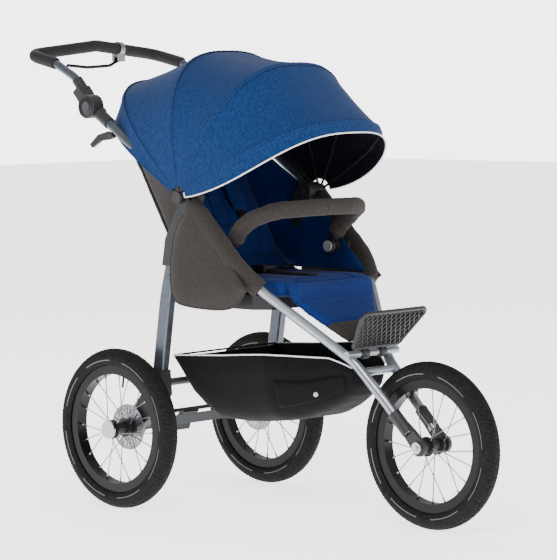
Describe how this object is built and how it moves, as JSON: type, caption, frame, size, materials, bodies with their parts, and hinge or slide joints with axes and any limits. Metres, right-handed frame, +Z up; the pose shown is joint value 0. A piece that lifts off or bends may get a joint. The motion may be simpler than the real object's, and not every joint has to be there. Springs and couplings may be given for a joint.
{
  "type": "baby stroller",
  "caption": "Three-wheeled jogging stroller with spoked wheels, folding frame, padded reclining seat, arched canopy, basket, bumper bar and tilting handle.",
  "frame": {"origin": "on the ground, in the middle of the outer box", "axes": "+X to the child's left, -Y forward, +Z up"},
  "size_m": [0.612, 1.3915, 1.186],
  "materials": {
    "tyre_rubber": "matt tread",
    "rim_black": "gloss black",
    "spoke_steel": "drawn wire",
    "hub_black": "satin black",
    "disc_steel": "ground",
    "frame_silver": "satin anodised",
    "frame_plastic": "moulded, fine texture",
    "joint_grey": "moulded, satin",
    "beam_grey": "satin grey",
    "axle_steel": "zinc plated",
    "grip_rubber": "textured",
    "clamp_metal": "satin",
    "canopy_fabric": "heather woven polyester",
    "seat_fabric": "padded polyester",
    "trim_fabric": "heather woven polyester",
    "webbing": "woven webbing",
    "basket_fabric": "coated polyester",
    "bow_plastic": "moulded strip",
    "button_grey": "satin"
  },
  "bodies": {
    "frame": {"frame_tubes": "frame_silver", "frame_knuckles": "joint_grey", "hinge_pins": "axle_steel", "fork_ends": "frame_plastic", "front_axle": "axle_steel", "seat_base": "trim_fabric", "seat_cushion": "seat_fabric", "side_covers": "trim_fabric", "lap_and_crotch_straps": "webbing", "buckle": "frame_plastic", "bumper_sockets": "frame_plastic", "basket": "basket_fabric"},
    "front_wheel": {"front_tyre": "tyre_rubber", "front_rim": "rim_black", "front_spokes": "spoke_steel", "front_hub": "hub_black"},
    "left_wheel": {"left_tyre": "tyre_rubber", "left_rim": "rim_black", "left_spokes": "spoke_steel", "left_hub": "hub_black", "left_brake_disc": "disc_steel"},
    "right_wheel": {"right_tyre": "tyre_rubber", "right_rim": "rim_black", "right_spokes": "spoke_steel", "right_hub": "hub_black", "right_brake_disc": "disc_steel"},
    "rear_legs": {"leg_tubes": "frame_silver", "leg_housings": "joint_grey", "axle_brackets": "frame_plastic", "stub_axles": "hub_black", "rear_cross_beams": "beam_grey"},
    "foot_brake": {"foot_brake": "frame_plastic"},
    "pusher": {"pusher_tubes": "frame_silver", "pusher_knuckles": "joint_grey", "handle_joint_bases": "frame_plastic", "canopy_rear_bow": "bow_plastic", "canopy_rear_cloth": "canopy_fabric"},
    "handle": {"handle_tube": "frame_silver", "handle_grip": "grip_rubber", "handle_joint_heads": "joint_grey", "brake_clamp": "clamp_metal"},
    "brake_lever": {"brake_lever": "frame_plastic"},
    "left_handle_button": {"left_handle_button": "frame_plastic"},
    "right_handle_button": {"right_handle_button": "frame_plastic"},
    "left_fold_lever": {"left_fold_lever": "frame_plastic"},
    "right_fold_lever": {"right_fold_lever": "frame_plastic"},
    "canopy_middle": {"canopy_middle_bow": "bow_plastic", "canopy_middle_cloth": "canopy_fabric"},
    "canopy_top": {"canopy_top_bow": "bow_plastic", "canopy_top_cloth": "canopy_fabric"},
    "canopy_front": {"canopy_front_bow": "bow_plastic", "canopy_front_cloth": "canopy_fabric"},
    "backrest": {"backrest_shell": "trim_fabric", "backrest_pad": "seat_fabric", "shoulder_straps": "webbing"},
    "bumper": {"bumper_bar": "trim_fabric"},
    "left_bumper_button": {"left_bumper_button": "button_grey"},
    "right_bumper_button": {"right_bumper_button": "button_grey"},
    "footrest": {"footrest_plate": "frame_plastic"},
    "buckle_button": {"buckle_button": "button_grey"}
  },
  "joints": [
    {"name": "front_wheel_spin", "type": "hinge", "parent": "frame", "child": "front_wheel", "pos_m": [0, -0.494, 0.2025], "axis": [1, 0, 0], "continuous": true},
    {"name": "left_wheel_spin", "type": "hinge", "parent": "rear_legs", "child": "left_wheel", "pos_m": [0.268, 0.315, 0.2025], "axis": [1, 0, 0], "continuous": true},
    {"name": "right_wheel_spin", "type": "hinge", "parent": "rear_legs", "child": "right_wheel", "pos_m": [-0.268, 0.315, 0.2025], "axis": [1, 0, 0], "continuous": true},
    {"name": "frame_fold", "type": "hinge", "parent": "frame", "child": "pusher", "pos_m": [0, 0.1, 0.79], "axis": [1, 0, 0], "range_deg": [0, 150]},
    {"name": "leg_fold", "type": "hinge", "parent": "frame", "child": "rear_legs", "pos_m": [0, 0.1, 0.79], "axis": [1, 0, 0], "range_deg": [-32, 0], "deforming": ["basket"]},
    {"name": "foot_brake_press", "type": "hinge", "parent": "rear_legs", "child": "foot_brake", "pos_m": [0, 0.33, 0.2245], "axis": [1, 0, 0], "range_deg": [-20, 0]},
    {"name": "handle_tilt", "type": "hinge", "parent": "pusher", "child": "handle", "pos_m": [0, 0.435, 1.0135], "axis": [1, 0, 0], "range_deg": [-60, 30]},
    {"name": "hand_brake", "type": "hinge", "parent": "handle", "child": "brake_lever", "pos_m": [0.084, 0.67534, 1.13358], "axis": [0, 1, 0], "range_deg": [0, 6], "stiffness_Nm_per_rad": 1, "springref_deg": -17.19},
    {"name": "canopy_middle_hinge", "type": "hinge", "parent": "pusher", "child": "canopy_middle", "pos_m": [0, 0.1, 0.79], "axis": [1, 0, 0], "range_deg": [-28, 0], "deforming": ["canopy_middle_cloth"]},
    {"name": "canopy_top_hinge", "type": "hinge", "parent": "canopy_middle", "child": "canopy_top", "pos_m": [0, 0.1, 0.79], "axis": [1, 0, 0], "range_deg": [-35.2, 0], "deforming": ["canopy_top_cloth"]},
    {"name": "canopy_front_hinge", "type": "hinge", "parent": "canopy_top", "child": "canopy_front", "pos_m": [0, 0.1, 0.79], "axis": [1, 0, 0], "range_deg": [-30.7, 0], "deforming": ["canopy_front_cloth"]},
    {"name": "backrest_recline", "type": "hinge", "parent": "frame", "child": "backrest", "pos_m": [0, 0.15471, 0.58868], "axis": [1, 0, 0], "range_deg": [-30, 10]},
    {"name": "bumper_swing", "type": "hinge", "parent": "frame", "child": "bumper", "pos_m": [0, -0.003, 0.652], "axis": [1, 0, 0], "range_deg": [-40, 25]},
    {"name": "footrest_tilt", "type": "hinge", "parent": "frame", "child": "footrest", "pos_m": [0, -0.30499, 0.41436], "axis": [1, 0, 0], "range_deg": [0, 40]},
    {"name": "buckle_press", "type": "slide", "parent": "frame", "child": "buckle_button", "axis": [0, 0, -1], "range_m": [0, 0.002], "stiffness_N_per_m": 500, "springref_m": -0.002},
    {"name": "left_handle_button_press", "type": "slide", "parent": "handle", "child": "left_handle_button", "axis": [-1, 0, 0], "range_m": [0, 0.002], "stiffness_N_per_m": 500, "springref_m": -0.002},
    {"name": "left_bumper_button_press", "type": "slide", "parent": "bumper", "child": "left_bumper_button", "axis": [1, 0, 0], "range_m": [0, 0.002], "stiffness_N_per_m": 500, "springref_m": -0.002},
    {"name": "left_fold_lever_pull", "type": "hinge", "parent": "pusher", "child": "left_fold_lever", "pos_m": [0, 0.36121, 0.93903], "axis": [1, 0, 0], "range_deg": [0, 12], "stiffness_Nm_per_rad": 0.5, "springref_deg": -22.92},
    {"name": "right_handle_button_press", "type": "slide", "parent": "handle", "child": "right_handle_button", "axis": [1, 0, 0], "range_m": [0, 0.002], "stiffness_N_per_m": 500, "springref_m": -0.002},
    {"name": "right_bumper_button_press", "type": "slide", "parent": "bumper", "child": "right_bumper_button", "axis": [-1, 0, 0], "range_m": [0, 0.002], "stiffness_N_per_m": 500, "springref_m": -0.002},
    {"name": "right_fold_lever_pull", "type": "hinge", "parent": "pusher", "child": "right_fold_lever", "pos_m": [0, 0.36121, 0.93903], "axis": [1, 0, 0], "range_deg": [0, 12], "stiffness_Nm_per_rad": 0.5, "springref_deg": -22.92}
  ],
  "couplings": [
    {"joint": "leg_fold", "follows": "frame_fold", "ratio": -0.21333},
    {"joint": "canopy_middle_hinge", "follows": "frame_fold", "ratio": -0.18667},
    {"joint": "canopy_top_hinge", "follows": "frame_fold", "ratio": -0.23467},
    {"joint": "canopy_front_hinge", "follows": "frame_fold", "ratio": -0.20467}
  ]
}
